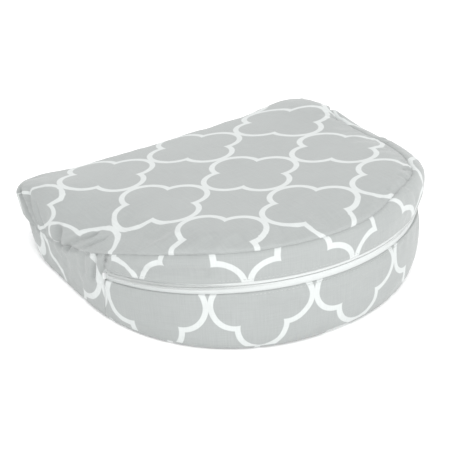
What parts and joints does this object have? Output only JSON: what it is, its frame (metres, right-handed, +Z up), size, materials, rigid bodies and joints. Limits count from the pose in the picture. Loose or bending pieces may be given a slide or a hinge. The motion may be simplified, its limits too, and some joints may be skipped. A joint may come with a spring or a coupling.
{
  "type": "nursing pillow",
  "caption": "D-shaped foam wedge support cushion, thin at its straight edge and thick at its round edge, in a sewn lattice-print cover with a curved side zip.",
  "frame": {"origin": "middle of the footprint, on the surface that the pillow lies on", "axes": "+X along the straight edge, +Y towards the straight edge so that the round edge faces -Y, +Z up"},
  "size_m": [0.3609, 0.3317, 0.1131],
  "materials": {
    "foam": "open-cell foam, matte",
    "cover_cloth": "woven cotton, grey with a white lattice print",
    "zip_tape": "woven polyester tape, white",
    "zip_coil": "nylon coil, white",
    "zip_metal": "white enamel"
  },
  "bodies": {
    "cushion": {"foam_core": "foam", "top_panel": "cover_cloth", "bottom_panel": "cover_cloth", "back_gusset": "cover_cloth", "upper_gusset": "cover_cloth", "lower_gusset": "cover_cloth", "zip_tape_upper": "zip_tape", "zip_tape_lower": "zip_tape", "zip_coil_upper": "zip_coil", "zip_coil_lower": "zip_coil", "zip_top_stops": "zip_metal", "zip_bottom_stop": "zip_metal"},
    "slider": {"zip_slider": "zip_metal"},
    "pull_tab": {"zip_pull_tab": "zip_metal"}
  },
  "joints": [
    {"name": "zip_travel", "type": "hinge", "parent": "cushion", "child": "slider", "pos_m": [0, 0.01102, 0.04361], "axis": [0, 0.1714, 0.9852], "range_deg": [-151, 0]},
    {"name": "pull_tab_flip", "type": "hinge", "parent": "slider", "child": "pull_tab", "pos_m": [0.17582, -0.03378, 0.0514], "axis": [0, -0.1714, -0.9852], "range_deg": [0, 175]}
  ]
}
